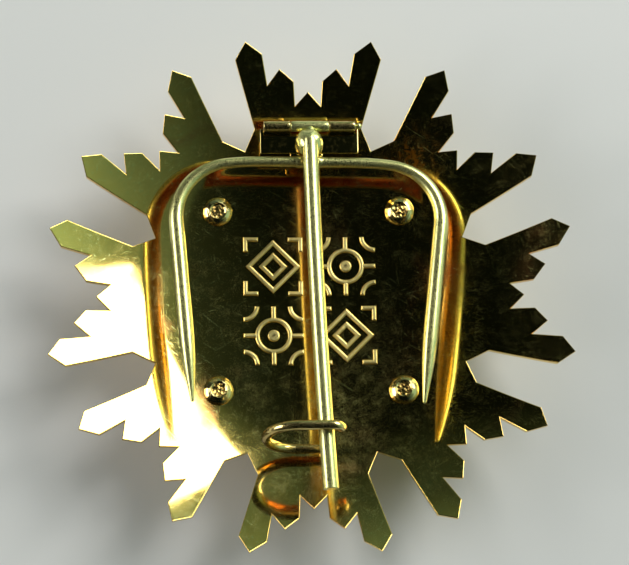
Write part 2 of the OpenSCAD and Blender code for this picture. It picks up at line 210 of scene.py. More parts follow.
def makePlateGilding():
    # Gilded brass sheet, polished and then wiped for years: it mirrors its surroundings, hairline scratches
    # and fine rubbed marks scatter a little light, and brown clouds of tarnish dull it here and there.
    g = plateGilding
    material, tree, shader, place = newMaterial("gildedBrassPolishedSheet")
    scratches = strongest(tree, *(streaks(tree, place, *scratch) for scratch in g["scratches"]))
    haze = clouds(tree, place, *g["hazePatches"])
    tarnish = clouds(tree, place, *g["tarnishPatches"])
    # painted reflection: a mottled orange patch around one spot of the sheet, which also roughens it there
    paintedOrangeReflection = clouds(tree, place, *g["paintedReflectionMottle"])
    nearPaintedReflection = nearness(tree, place, g["paintedReflectionMiddle"], *g["paintedReflectionReach"])
    paintedOrangeReflection = addNode(tree, "Math", {0: paintedOrangeReflection, 1: nearPaintedReflection}, operation="MULTIPLY").outputs[0]
    grain = addNode(tree, "TexNoise", {"Vector": place, "Scale": perMetre(g["markSize"]), "Detail": 2.0})
    veilDrawing = {"Vector": place, "Scale": perMetre(g["veilSize"]), "Detail": 7.0, "Roughness": 0.75}
    veil = addNode(tree, "TexNoise", veilDrawing)
    handled = nearness(tree, place, g["handled"], *g["handledReach"])
    thick = layered(tree, -g["veilStrength"] / 2, [
        (veil.outputs["Fac"], g["veilStrength"]),
        (handled, g["handledStrength"]),
        (grain.outputs["Fac"], 1.0),
    ])
    low, high = g["markLevels"]
    marks = addNode(tree, "MapRange", {"Value": thick, "From Min": low, "From Max": high}).outputs[0]
    rough = layered(tree, g["roughness"], [
        (scratches, g["scratchRoughness"]),
        (haze, g["hazeRoughness"]),
        (tarnish, g["tarnishRoughness"]),
        (paintedOrangeReflection, g["paintedReflectionRoughness"]),
        (marks, g["markRoughness"]),
    ])
    colour = painted(tree, g["gold"], [
        (haze, 1.0, g["worn"]),
        (tarnish, 1.0, g["tarnish"]),
        # painted reflection: the orange patch laid over the gold
        (paintedOrangeReflection, g["paintedReflectionCover"], g["paintedOrangeReflection"]),
        (strongest(tree, marks, scratches), g["rubbedCover"], g["rubbed"]),
    ])
    waves = addNode(tree, "TexNoise", {"Vector": place, "Scale": perMetre(g["waveSize"]), "Detail": 1.0})
    height = layered(tree, waves.outputs["Fac"], [(scratches, -g["scratchDepth"])])
    finishMetal(tree, shader, colour, rough, height, g["bumpHeight"])
    return material


gilding = {
    "wearSize": 3.0,
    "markSoftness": 0.14,
    "under": "8A4A2C",  # painted shade: the wires' undersides, which face the plate, are coloured dark brown
    "underTilt": (-0.15, -0.75),  # how far down a spot faces where the painted shade starts and where it is full
    "underShadeAlongY": (-20.0, 18.0),  # the painted shade is weakest at the catch and full by the hinge
}


def makeGilding(name, gold, worn, roughness, grit, spread=0.12, bumpHeight=0.004, level=0.5, leastUnderShade=None):
    # Gilded metal: its colour changes over clouds of wear, and marks as wide as grit roughen it by spread.
    # With a least share given, its underside gets a painted shade of dark brown, that share of it at the
    # catch and all of it by the hinge.
    g = gilding
    material, tree, shader, place = newMaterial(name)
    wear = addNode(tree, "TexNoise", {"Vector": place, "Scale": perMetre(g["wearSize"]), "Detail": 4.0})
    marks = addNode(tree, "TexNoise", {"Vector": place, "Scale": perMetre(grit), "Detail": 3.0})
    marks = marks.outputs["Fac"]
    levels = {"Value": marks, "From Min": level, "From Max": level + g["markSoftness"]}
    rough = layered(tree, roughness, [(addNode(tree, "MapRange", levels).outputs[0], spread)])
    layers = [(wear.outputs["Fac"], 1.0, worn)]
    if leastUnderShade is not None:
        # painted shade: spots facing down are coloured dark brown, less so towards the catch
        tilt = addNode(tree, "SeparateXYZ", {0: addNode(tree, "TexCoord").outputs["Normal"]}).outputs["Z"]
        start, full = g["underTilt"]
        below = addNode(tree, "MapRange", {"Value": tilt, "From Min": start, "From Max": full}).outputs[0]
        along = addNode(tree, "SeparateXYZ", {0: place}).outputs["Y"]
        least, most = (y * mm for y in g["underShadeAlongY"])
        underShadeAlongLevels = {"Value": along, "From Min": least, "From Max": most, "To Min": leastUnderShade}
        underShadeAlong = addNode(tree, "MapRange", underShadeAlongLevels).outputs[0]
        underShade = addNode(tree, "Math", {0: below, 1: underShadeAlong}, operation="MULTIPLY").outputs[0]
        layers.append((underShade, 1.0, g["under"]))
    finishMetal(tree, shader, painted(tree, gold, layers), rough, marks, bumpHeight)
    return material


materials = {
    "plate": makePlateGilding(),
    # Gilded brass, cast relief burnished on its edges: pale lines, bright where the mirror beside is dark
    "relief": makeGilding(
        "gildedBrassBurnishedRelief", gold="F8E8A0", worn="E8D080", roughness=0.32, grit=0.12,
        spread=0.3, level=0.45),
    # Gilded brass, turned and polished: a bright dome with small dents
    "rivet": makeGilding(
        "gildedBrassTurnedRivet", gold="EEDA98", worn="D6BE7A", roughness=0.13, grit=0.3),
    # Gilded brass, struck with a punch: a dark uneven floor with small bright points
    "struck": makeGilding(
        "gildedBrassPunchedFloor", gold="D9B96C", worn="8F7038", roughness=0.16, grit=0.15,
        spread=0.22, bumpHeight=0.01),
    # Gilded nickel silver, drawn wire: a pale greenish gold whose long lights spread into a soft glow, with a
    # painted shade on its underside
    "wire": makeGilding(
        "gildedNickelSilverDrawnWire", gold="E2DE96", worn="D4D08A", roughness=0.15, grit=0.10,
        spread=0.38, bumpHeight=0.003, level=0.44, leastUnderShade=0.35),
    # Gilded nickel silver, drawn and burnished: as the wire, with a slightly sharper light along it and the
    # same painted shade underneath
    "pin": makeGilding(
        "gildedNickelSilverBurnishedPin", gold="DEDC96", worn="D0CE88", roughness=0.14, grit=0.12,
        spread=0.38, bumpHeight=0.003, level=0.43, leastUnderShade=0.35),
    # Gilded nickel silver, drawn and burnished hard: smoother and darker than the hooks, with sharper lights
    # and a painted shade nearly in full on its underside
    "smooth": makeGilding(
        "gildedNickelSilverSmoothWire", gold="E6D28C", worn="C8B06C", roughness=0.12, grit=0.10,
        spread=0.34, bumpHeight=0.003, leastUnderShade=0.9),
    # Gilded brass, filed and burnished block: a mirror that goes black where it sees nothing
    "block": makeGilding(
        "gildedBrassBurnishedBlock", gold="F2D684", worn="DFC070", roughness=0.07, grit=0.6,
        spread=0.08, bumpHeight=0.002),
    # Gilded brass, spun and polished: the front's even, slightly soft mirror
    "front": makeGilding(
        "gildedBrassPlainFront", gold="F2D684", worn="DFC070", roughness=0.12, grit=0.4),
}
print("materials:", len(materials))

# Shapes


def unit(v):
    v = np.asarray(v, float)
    return v / np.linalg.norm(v)


def polar(r, angle):
    return np.array([r * cos(radians(angle)), r * sin(radians(angle))])


def makePiece(name, shape, looks, body="star", replaces=(), normals=None, looksOf=None):
    # normals: one for each face corner; looksOf: which of the looks each face has
    points, faces = shape
    data = bpy.data.meshes.new(name)
    data.from_pydata([tuple(p) for p in np.asarray(points, float) * mm], [], faces)
    data.polygons.foreach_set("use_smooth", [True] * len(faces))
    for look in looks:
        data.materials.append(materials[look])
    if looksOf is not None:
        data.polygons.foreach_set("material_index", looksOf)
    data.update()
    if normals is not None:
        data.normals_split_custom_set([tuple(n) for n in normals])
    piece = bpy.data.objects.new(name, data)
    scene.collection.objects.link(piece)
    if normals is None:
        piece.modifiers.new("faceWeights", "WEIGHTED_NORMAL")
    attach(piece, body)
    if replaces:
        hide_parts(*replaces)


def joined(*shapes):
    points, faces = [], []
    for shapePoints, shapeFaces in shapes:
        start = len(points)
        points += [tuple(p) for p in shapePoints]
        faces += [[start + k for k in face] for face in shapeFaces]
    return points, faces


def placed(shape, matrix):
    return [tuple(matrix @ Vector(p)) for p in shape[0]], shape[1]


def withoutRepeats(face):
    return [v for k, v in enumerate(face) if v != face[k - 1]]


def lathe(profile, sides, closed=False):
    # profile: radius and height, from the bottom up along the outside
    points, faces, rings = [], [], []
    for r, z in profile:
        n = sides if r > 1e-6 else 1
        rings.append(range(len(points), len(points) + n))
        points += [(r * cos(2 * pi * k / sides), r * sin(2 * pi * k / sides), z) for k in range(n)]
    pairs = list(zip(rings, rings[1:])) + ([(rings[-1], rings[0])] if closed else [])
    for low, high in pairs:
        for k in range(sides):
            nextK = (k + 1) % sides
            face = [low[k % len(low)], low[nextK % len(low)], high[nextK % len(high)], high[k % len(high)]]
            face = withoutRepeats(face)
            if len(face) > 2:
                faces.append(face)
    return points, faces


def sweep(route, sides=40):
    # route: rows of x, y, z and radius; both ends close in a point
    route = np.array(route, float)
    centres, radii = route[:, :3], route[:, 3]
    last = len(route) - 1
    ahead = [unit(centres[min(i + 1, last)] - centres[max(i - 1, 0)]) for i in range(len(route))]
    side = unit(np.cross(ahead[0], [0.3, 0.2, 1.0]))
    points, faces = [tuple(centres[0])], []
    turn = 2 * pi / sides
    for centre, radius, way in zip(centres, radii, ahead):
        side = unit(side - way * np.dot(side, way))
        up = np.cross(way, side)
        points += [tuple(centre + radius * (cos(turn * k) * side + sin(turn * k) * up)) for k in range(sides)]
    points.append(tuple(centres[-1]))
    tip = len(points) - 1
    for k in range(sides):
        nextK = (k + 1) % sides
        faces.append([0, 1 + nextK, 1 + k])
        for i in range(last):
            a = 1 + i * sides
            faces.append([a + k, a + nextK, a + sides + nextK, a + sides + k])
        faces.append([tip - sides + k, tip - sides + nextK, tip])
    return points, faces


def roundEnd(route, back=False, steps=6, flat=1.0):
    # adds a rounded end, as long as the last radius times flat
    rows = [list(row) for row in (route[::-1] if back else route)]
    end, radius = np.array(rows[-1][:3]), rows[-1][3]
    way = unit(end - np.array(rows[-2][:3]))
    for k in range(1, steps + 1):
        t = radians(86 * k / steps)  # just short of the tip, which sweep closes
        rows.append([*(end + way * radius * flat * sin(t)), radius * cos(t)])
    return rows[::-1] if back else rows


def flatEnd(route, bevel=0.12, steps=4):
    # adds a square cut end with a small rounded edge
    rows = [list(row) for row in route]
    end, radius = np.array(rows[-1][:3]), rows[-1][3]
    way = unit(end - np.array(rows[-2][:3]))
    for k in range(steps + 1):
        t = radians(90 * k / steps)
        rows.append([*(end + way * bevel * (0.02 + sin(t))), radius - bevel * (1 - cos(t))])
    rows.append([*(end + way * bevel * 1.03), radius * 0.8])
    return rows


def wavy(route, amount, length, seed):
    # hand worked wire: its thickness wanders a little along its length
    out, along = [], 0.0
    for k, row in enumerate(route):
        along += np.linalg.norm(np.array(row[:3]) - np.array(route[k - 1][:3])) if k else 0
        out.append([*row[:3], row[3] * (1 + amount * noise.noise(Vector((along / length, seed, 0.5))))])
    return out


# The dish that everything stands on: a flatter middle, and arms that bend up from it

dish = {
    "base": 6.5,  # height of its lowest inner point
    "middleRadius": 230.0,
    "armRadius": 93.0,
    "bendAt": 24.3,
    "bendSoftness": 0.06,
    "mirrorBend": (21.5, 24.5),  # where the mirror turns steeper, to the sides and to the ends
    "mirrorSoftness": 0.7,
    "thickness": 1.2,
}


def dishAt(x, y, out=0.0):
    # height and upward normal of the inner face, moved outwards by out
    r = np.maximum(np.hypot(x, y), 1e-9)
    middleRadius, armRadius, bend = dish["middleRadius"], dish["armRadius"], dish["bendAt"]
    middleZ = dish["base"] + middleRadius
    armsZ = middleZ - sqrt(middleRadius ** 2 - bend ** 2) + sqrt(armRadius ** 2 - bend ** 2)
    riseMiddle = np.sqrt((middleRadius + out) ** 2 - r * r)
    riseArms = np.sqrt((armRadius + out) ** 2 - r * r)
    middle, arms = middleZ - riseMiddle, armsZ - riseArms
    half = (middle - arms) / 2
    height = (middle + arms) / 2 + np.sqrt(half * half + dish["bendSoftness"] ** 2)
    # hand worked sheet: what it mirrors turns at a rounded square, not quite at the circle of the bend
    side, end = dish["mirrorBend"]
    power = np.where(y > 0, 4.0, 2.0)  # square at the hinge's end, round at the catch's end
    stretch = np.abs(x / r / side) ** power + np.abs(y / r / end) ** power
    past = r - np.maximum(stretch, 1e-12) ** (-1 / power)
    blur = dish["mirrorSoftness"] * (1 + 3 * np.maximum(-y / r, 0) ** 2)  # softer towards the catch
    share = (1 + past / np.sqrt(past * past + blur * blur)) / 2
    slope = (1 - share) / riseMiddle + share / riseArms
    normal = np.stack([-slope * x, -slope * y, np.ones_like(r)], -1)
    return height, normal / np.linalg.norm(normal, axis=-1, keepdims=True)


def dishHeight(x, y):
    return float(dishAt(np.array([x]), np.array([y]))[0][0])


def edgedSheet(flat, faces, top, bottom, bevel, rows=3, corner=25, bevelBottom=None):
    # A sheet between two dished faces with rounded edges: points, faces and a normal for each face corner.
    # flat holds the outline at full size; faces run anticlockwise; top and bottom are offsets for dishAt.
    flat = np.array(flat, float)
    count = len(flat)
    bevelBottom = bevel if bevelBottom is None else bevelBottom
    edges = {(a, b) for face in faces for a, b in zip(face, face[1:] + face[:1])}
    following = {a: b for a, b in edges if (b, a) not in edges}
    before = {b: a for a, b in following.items()}
    rim = sorted(following)
    topXY, bottomXY = flat.copy(), flat.copy()
    sides, chains = {}, {}
    for v in rim:
        into, away = unit(flat[v] - flat[before[v]]), unit(flat[following[v]] - flat[v])
        first, second = np.array([into[1], -into[0]]), np.array([away[1], -away[0]])
        miter = (first + second) / max(1 + np.dot(first, second), 0.3)
        if np.dot(first, second) > cos(radians(corner)):
            first = second = unit(first + second)
        sides[v] = (first, second, miter)
        topXY[v] -= miter * bevel
        bottomXY[v] -= miter * bevelBottom
    topZ, topNormal = dishAt(topXY[:, 0], topXY[:, 1], top)
    bottomZ, bottomNormal = dishAt(bottomXY[:, 0], bottomXY[:, 1], bottom)
    points = [(*xy, z) for xy, z in zip(topXY, topZ)] + [(*xy, z) for xy, z in zip(bottomXY, bottomZ)]
    tilts = [radians(90 * k / rows) for k in range(1, rows + 1)]
    for v in rim:
        miter = sides[v][2]
        chain = [(v, topNormal[v], 0.0)]
        for t in tilts:
            xy = flat[v] - miter * bevel * (1 - sin(t))
            chain.append((len(points), topNormal[v], t))
            points.append((*xy, topZ[v] - bevel * (1 - cos(t))))
        for t in reversed(tilts):
            xy = flat[v] - miter * bevelBottom * (1 - sin(t))
            chain.append((len(points), -bottomNormal[v], t))
            points.append((*xy, bottomZ[v] + bevelBottom * (1 - cos(t))))
        chains[v] = chain + [(count + v, -bottomNormal[v], 0.0)]
    normals, allFaces = [], []
    for face in faces:
        allFaces.append(list(face))
        normals += [topNormal[v] for v in face]
    for face in faces:
        allFaces.append([count + v for v in reversed(face)])
        normals += [-bottomNormal[v] for v in reversed(face)]
    for v in rim:
        w = following[v]
        here, there = sides[v][1], sides[w][0]
        for a, b, c, d in zip(chains[v], chains[v][1:], chains[w][1:], chains[w]):
            allFaces.append([a[0], b[0], c[0], d[0]])
            for side, (_, n, t) in ((here, a), (here, b), (there, c), (there, d)):
                normals.append(unit(n * cos(t) + np.array([*side, 0]) * sin(t)))
    return (points, allFaces), normals


def polygonArea(flat, face):
    corners = [flat[v] for v in face]
    return sum(a[0] * b[1] - a[1] * b[0] for a, b in zip(corners, corners[1:] + corners[:1])) / 2


# Star plate: eight arms, each cut into five pointed rays

star = {
    "arms": 8,
    # radius and angle from the arm's middle line
    "notch": (28.4, 22.5),
    "waist": (31.4, 17.05),
    "shoulder": (42.7, 17.05),
    "longTip": (45.0, 13.86),
    "innerShoulder": (42.6, 10.67),
    "rayNotch": (37.7, 10.67),
    "middleTip": (39.95, 7.06),
    "middleShoulder": (37.8, 3.72),
    "shortNotch": (33.9, 3.72),
    "shortTip": (36.1, 0.0),
    "edge": 0.16,  # radius of the edges
    # the mesh's rings: each step's outer radius and how many rings lead there; they follow the bend closely
    # and meet the notches
    "rings": [(20.0, 14), (27.2, 26), (31.4, 8), (33.07, 2), (33.9, 3), (36.75, 3), (37.7, 3), (41.6, 5)],
    # the ring where the rows that fit the outline start
    "notchFrom": 27.2,
    "longFrom": 41.6,
    "middleFrom": 36.75,
    "shortFrom": 33.07,
}


def sheetGrid(rings, strips):
    # strips: for each, its outline corners, the ring where its cap starts, the cap's rows
    # and the columns between corners
    flat, index, faces = [], {}, []

    def spot(r, angle):
        key = tuple(np.round(polar(r, angle), 4))
        if key not in index:
            index[key] = len(flat)
            flat.append(key)
        return index[key]

    for corners, base, capRows, perCorner in strips:
        columns = []
        for (r0, a0), (r1, a1) in zip(corners, corners[1:]):
            start, way = polar(r0, a0), polar(r1, a1) - polar(r0, a0)
            for k in range(perCorner + (1 if (r1, a1) == corners[-1] else 0)):
                angle = a0 + (a1 - a0) * k / perCorner
                ray = polar(1, angle)
                reach = np.cross(start, way) / np.cross(ray, way)
                radii = [r for r in rings if r <= base + 1e-6]
                radii += [base + (reach - base) * j / capRows for j in range(1, capRows + 1)]
                columns.append([spot(r, angle) for r in radii])
        for left, right in zip(columns, columns[1:]):
            for k in range(len(left) - 1):
                face = withoutRepeats([left[k], right[k], right[k + 1], left[k + 1]])
                if len(face) > 2:
                    faces.append(face)
    return flat, faces


def starStrips():
    s = star

    def mirrored(corners):
        return [(r, -a) for r, a in reversed(corners)]

    half = [
        ([s["notch"], s["waist"]], s["notchFrom"], 8, 6),
        ([s["shoulder"], s["longTip"], s["innerShoulder"]], s["longFrom"], 3, 4),
        ([s["rayNotch"], s["middleTip"], s["middleShoulder"]], s["middleFrom"], 3, 4),
    ]
    middle = ([s["shortNotch"], s["shortTip"], *mirrored([s["shortNotch"]])], s["shortFrom"], 3, 4)
    whole = half + [middle] + [(mirrored(c), base, rows, n) for c, base, rows, n in reversed(half)]
    step = 360 / s["arms"]
    return [([(r, a + step * (s["arms"] - i)) for r, a in c], base, rows, n)
            for i in range(s["arms"]) for c, base, rows, n in whole]


def makeStarPlate():
    rings, inner = [0.0], 0.0
    for outer, steps in star["rings"]:
        rings += [inner + (outer - inner) * k / steps for k in range(1, steps + 1)]
        inner = outer
    flat, faces = sheetGrid(rings, starStrips())
    if polygonArea(flat, faces[-1]) < 0:
        faces = [face[::-1] for face in faces]
    shape, normals = edgedSheet(flat, faces, 0.0, dish["thickness"], star["edge"])
    makePiece("starPlate", shape, ["plate"], replaces=["star_plate"], normals=normals)


makeStarPlate()
print("star plate made")

# Ornament: four panels of raised lines

ornament = {
    "panel": 10.2,
    "across": 6.2,  # middle of a panel from the centre line
    "upper": 6.3,
    "lower": -5.8,
    "line": 0.75,
    # shares of half a panel
    "lozenges": (0.92, 0.48),
    "cornerFrom": 0.5,
    "ring": 0.62,
    "dot": 0.1,
    "cornerArc": 0.52,
    "height": 0.35,
    "gap": 0.04,
    "edge": 0.3,
    "footEdge": 0.02,
}


def band(path, width, closed=False):
    # flat band along a path, with mitred corners
    path = [np.array(p, float) for p in path]
    n = len(path)
    flat, faces = [], []
    for k, p in enumerate(path):
        back = path[k - 1] if (closed or k > 0) else p
        on = path[(k + 1) % n] if (closed or k < n - 1) else p
        ways = [unit(w) for w in (p - back, on - p) if np.linalg.norm(w) > 1e-9]
        lefts = [np.array([-w[1], w[0]]) for w in ways]
        miter = lefts[0] if len(lefts) == 1 else (lefts[0] + lefts[1]) / (1 + np.dot(*lefts))
        flat += [tuple(p + miter * width * share) for share in (0.5, 0.0, -0.5)]
    for k in range(n if closed else n - 1):
        a, b = 3 * k, 3 * ((k + 1) % n)
        faces += [[a, a + 1, b + 1, b], [a + 1, a + 2, b + 2, b + 1]]
    return flat, faces


def finePath(path, step=0.5, closed=False):
    ends = path[1:] + path[:1] if closed else path[1:]
    out = []
    for a, b in zip(path, ends):
        a, b = np.array(a, float), np.array(b, float)
        n = max(1, round(np.linalg.norm(b - a) / step))
        out += [tuple(a + (b - a) * k / n) for k in range(n)]
    return out if closed else out + [tuple(path[-1])]


def turned(path, quarter):
    c, s = round(cos(pi / 2 * quarter)), round(sin(pi / 2 * quarter))
    return [(c * x - s * y, s * x + c * y) for x, y in path]


def ringPath(radius, a0=0, a1=360, centre=(0, 0), n=40):
    count = n if a1 - a0 == 360 else n + 1
    return [tuple(np.array(centre) + polar(radius, a0 + (a1 - a0) * k / n)) for k in range(count)]


def lozengeLines():
    # each line's path, whether it is closed, and its width
    half, w = ornament["panel"] / 2, ornament["line"]
    lines = []
    for share in ornament["lozenges"]:
        r = half * share - w / sqrt(2)
        lines.append(([(r, 0), (0, r), (-r, 0), (0, -r)], True, w))
    start, rim = half * ornament["cornerFrom"], half - w / 2
    corner = [(start, rim), (rim, rim), (rim, start)]
    lines += [(turned(corner, quarter), False, w) for quarter in range(4)]
    return lines


def ringLines():
    half, w = ornament["panel"] / 2, ornament["line"]
    ring, dot = half * ornament["ring"] - w / 2, half * ornament["dot"]
    lines = [(ringPath(ring), True, w), (ringPath(dot, n=16), True, 2 * dot)]
    corner = ringPath(half * ornament["cornerArc"] - w / 2, 180, 270, (half, half), 14)
    for quarter in range(4):
        lines.append((turned([(ring, 0), (half, 0)], quarter), False, w))
        lines.append((turned(corner, quarter), False, w))
    return lines


def makeOrnament(i):
    o = ornament
    side = -1 if i in (1, 4) else 1
    middle = np.array([side * o["across"], o["upper"] if i <= 2 else o["lower"]])
    shapes, normals = [], []
    for path, closed, width in (lozengeLines() if i % 2 else ringLines()):
        path = [tuple(np.array(p) + middle) for p in path]
        flat, faces = band(finePath(path, closed=closed), width, closed)
        if polygonArea(flat, faces[0]) < 0:
            faces = [face[::-1] for face in faces]
        shape, shapeNormals = edgedSheet(
            flat, faces, -o["gap"] - o["height"], -o["gap"], o["edge"], rows=5, bevelBottom=o["footEdge"])
        shapes.append(shape)
        normals += shapeNormals
    makePiece(f"ornamentPanel{i}", joined(*shapes), ["relief"], replaces=[f"ornament_{i}"],
              normals=normals)


for i in range(1, 5):
    makeOrnament(i)
print("ornament made")

# Rivets: a dome with a ring struck into it

rivet = {
    "circle": 22.1,
    "shiftY": 0.2,
    "headRadius": 2.5,
    "height": 1.2,
    "shoulder": 2.7,  # 2 is round, more is flatter with a steeper edge
    "foot": 0.14,
    "shankRadius": 0.9,
    "rim": 1.42,  # crest of the struck ring
    "floor": 1.12,
    "floorDepth": 0.30,
    "punchDents": 0.16,
    "headDents": 0.02,
    "headWaves": 0.03,
    "frontRadius": 2.0,
    "frontSheet": 0.9,  # thickness of the front plate, with a gap on both sides
    "gap": 0.04,
    "sides": 72,
}


def makeRivet(i):
    r = rivet
    head, foot, rim = r["headRadius"], r["foot"], r["rim"]
    shank, front = r["shankRadius"], r["frontRadius"]
    through = dish["thickness"] + r["gap"] + r["frontSheet"] + r["gap"]

    def dome(x):
        return r["height"] * (1 - (x / head) ** r["shoulder"]) ** 0.6

    rimZ = dome(rim) + 0.03
    floorZ = rimZ - r["floorDepth"]
    # radius and height along the front head and the shank, the head's underside and dome, the struck ring
    # and its floor
    frontHead = ((0.0, 0.68), (1.0, 0.6), (1.6, 0.4), (front, 0.08), (front - 0.03, 0.0), (shank, 0.0))
    profile = [(x, -through - drop) for x, drop in frontHead]
    profile += [(shank, foot), (head - 0.14, foot), (head - 0.03, foot + 0.03), (head - 0.01, foot + 0.08)]
    profile += [(x, dome(x) - 0.02) for x in np.linspace(head - 0.1, rim + 0.22, 12)]
    profile += [(rim + 0.1, rimZ - 0.02), (rim, rimZ), (rim - 0.1, rimZ - 0.05), (rim - 0.2, rimZ - 0.16)]
    profile += [(x, floorZ + 0.03 * cos(5 * x)) for x in np.linspace(r["floor"], 0.08, 14)]
    profile.append((0.0, floorZ + 0.03))
    points, faces = lathe(profile, r["sides"])
    for n, (x, y, z) in enumerate(points):
        reach = hypot(x, y)
        if z > 0 and reach < head - 0.05:
            depth = r["punchDents"] if reach < r["floor"] + 0.05 else r["headDents"]
            dent = noise.noise(Vector((x * 2.6, y * 2.6, i * 9.1))) * depth
            dent += noise.noise(Vector((x * 0.9, y * 0.9, i * 4.7))) * r["headWaves"]
            points[n] = (x, y, z + dent)
    struck = []
    for face in faces:
        x, y, z = np.mean([points[v] for v in face], axis=0)
        struck.append(1 if z > 0 and hypot(x, y) < r["floor"] + 0.04 else 0)
    # it stands square on the dish
    x, y = polar(r["circle"], 45 + 90 * (i - 1)) + [0, r["shiftY"]]
    dishRadius = dish["middleRadius"]
    tilt = -np.arcsin(hypot(x, y) / dishRadius)
    lean = Matrix.Rotation(np.arctan2(y, x), 4, "Z") @ Matrix.Rotation(tilt, 4, "Y")
    centre = Vector((0, 0, dish["base"] + dishRadius))
    matrix = Matrix.Translation(centre) @ lean @ Matrix.Translation(Vector((0, 0, -dishRadius)))
    makePiece(f"rivet{i}", placed((points, faces), matrix), ["rivet", "struck"], replaces=[f"rivet_{i}"],
              looksOf=struck)


for i in range(1, 5):
    makeRivet(i)
print("rivets made")

# Wire with the top bar and the two hooks

hooks = {
    "z": 16.2,
    "barY": 22.05,
    "x": -0.2,
    "barHalf": 7.1,
    "slackRadius": 60.0,  # the bar's ends bend down very slightly before the corners
    "slackAngle": 6.4,
    "cornerRadius": 9.5,
    "slope": 5.85,
    "pointY": -18.9,
    "barWire": 1.75,
    "hookWire": 2.5,
    "pointWire": 0.6,
    "taper": 11.0,
    "turn": 0.9,
    "beadAt": 1.5,  # solder on both sides of the pin
    "beadHalf": 0.8,
    "beadHeight": 0.15,
    "wander": (0.02, 3.5, 2.0),  # share of the thickness, length and seed for wavy
}


def arcRows(centre, radius, a0, a1, n, w0, w1):
    # rows of x, y and half the wire's width, which goes from w0 to w1
    return [[*(np.array(centre) + polar(radius, a0 + (a1 - a0) * k / n)), (w0 + (w1 - w0) * k / n) / 2]
            for k in range(n + 1)]


def lineRows(a, b, n, w0, w1, power=1.0):
    a, b = np.array(a), np.array(b)
    return [[*(a + (b - a) * k / n), (w0 + (w1 - w0) * (k / n) ** power) / 2] for k in range(1, n + 1)]


def hookRows():
    h = hooks
    bar, hook, slack, slope = h["barWire"], h["hookWire"], h["slackAngle"], h["slope"]
    slackCentre = np.array([h["barHalf"], h["barY"] - h["slackRadius"]])
    corner = slackCentre + polar(h["slackRadius"] - h["cornerRadius"], 90 - slack)
    top = corner + polar(h["cornerRadius"], -slope)
    way = polar(1, -90 - slope)
    point = top + way * (top[1] - h["pointY"]) / cos(radians(slope))
    taper = point - way * h["taper"]
    rows = arcRows(slackCentre, h["slackRadius"], 90, 90 - slack, 12, bar, bar)
    # the corner starts two degrees past the last row
    rows += arcRows(corner, h["cornerRadius"], 88 - slack, -slope, 40, bar, hook)
    rows += lineRows(top, taper, 24, hook, hook)
    rows += lineRows(taper, point, 24, hook, h["pointWire"], 1.6)
    return rows


def makeHooks():
    h = hooks
    right = hookRows()
    left = [[-x, y, w] for x, y, w in reversed(right)]
    bar = []
    for x in np.linspace(-h["barHalf"] + 0.4, h["barHalf"] - 0.4, 60):
        bead = h["beadHeight"] * max(0, 1 - ((abs(x) - h["beadAt"]) / h["beadHalf"]) ** 2)
        bar.append([x, h["barY"], h["barWire"] / 2 + bead])
    c, s = cos(radians(-h["turn"])), sin(radians(-h["turn"]))
    route = [[c * x - s * (y - h["barY"]) + h["x"], s * x + c * (y - h["barY"]) + h["barY"], h["z"], w]
             for x, y, w in left + bar + right]
    route = roundEnd(roundEnd(wavy(route, *h["wander"])), back=True)
    makePiece("sideHooks", sweep(route), ["wire"], replaces=["side_hooks"])


makeHooks()

# Catch: the wire rises from the plate, bends round and comes back over the pin

catch = {
    "wire": 1.62,
    "radius": 5.4,
    "middle": (-2.5, -24.9, 16.1),
    "lean": 11.3,
    "topEnd": 2.8,
    "footEnd": 2.4,
    "footBack": 1.3,
    "turnRadius": 1.5,
    "footRadius": 1.2,
    "solder": [(0.0, 0.78), (0.12, 0.62), (0.35, 0.52)],  # height over the foot, radius as share of the wire
    "wander": (0.02, 3.0, 7.0),
}


def makeCatch():
    c = catch
    wire, radius = c["wire"], c["radius"]
    x0, y0, z0 = c["middle"]
    footZ = dishHeight(c["footEnd"], y0 - c["footBack"])
    foot = np.array([c["footEnd"] - x0, (footZ + 0.1 - z0) / cos(radians(c["lean"]))])
    bendStart = np.array([foot[0] - c["footRadius"], -radius - c["footRadius"]])
    top = np.array([c["topEnd"] - x0, radius])
    turnCentre = top - [0, c["turnRadius"]]
    rows = [[*(foot + [0, up]), wire * share] for up, share in c["solder"]]
    rows += arcRows(bendStart, c["footRadius"], 0, 90, 14, wire, wire)
    rows += lineRows(bendStart + [0, c["footRadius"]], (0, -radius), 10, wire, wire)
    rows += arcRows((0, 0), radius, 266, 94, 60, wire, wire)
    rows += lineRows((0, radius), top, 16, wire, wire)
    rows += arcRows(turnCentre, c["turnRadius"], 84, 20, 12, wire, wire)
    lift = radians(90 - c["lean"])
    route = [[x0 + x, y0 + y * cos(lift), z0 + y * sin(lift), w] for x, y, w in rows]
    route = roundEnd(wavy(route, *c["wander"]))
    makePiece("catch", sweep(route), ["smooth"], replaces=["catch"])


makeCatch()

# Pin: a slightly bowed rod, soldered by a knob to the middle knuckle

pin = {
    "z": 19.0,
    "width": 2.6,
    "top": 25.0,
    "end": -33.8,
    "bow": (-0.08, 1.15, 1.35),  # x at the top, and how it runs off along the length, straight and squared
    "wander": (0.012, 5.0, 3.0),
    "knob": (-0.125, 25.0, 17.85),
    "knobRadius": 2.35,
    "knobFloor": 16.75,
    "hinge": (27.9, 17.7),
    "knuckle": (-3.2, 3.15),
    "knuckleRadius": 0.9,
    "bore": 0.45,
    # strap from the knuckle to the knob: x, how far before and above the hinge, and radius
    "strap": [(0.0, 0.1, 0.0, 0.5), (0.0, 0.3, 0.05, 0.84), (0.0, 0.9, 0.1, 0.95),
              (-0.05, 1.6, 0.1, 1.25), (-0.1, 2.4, 0.1, 1.4)],
}


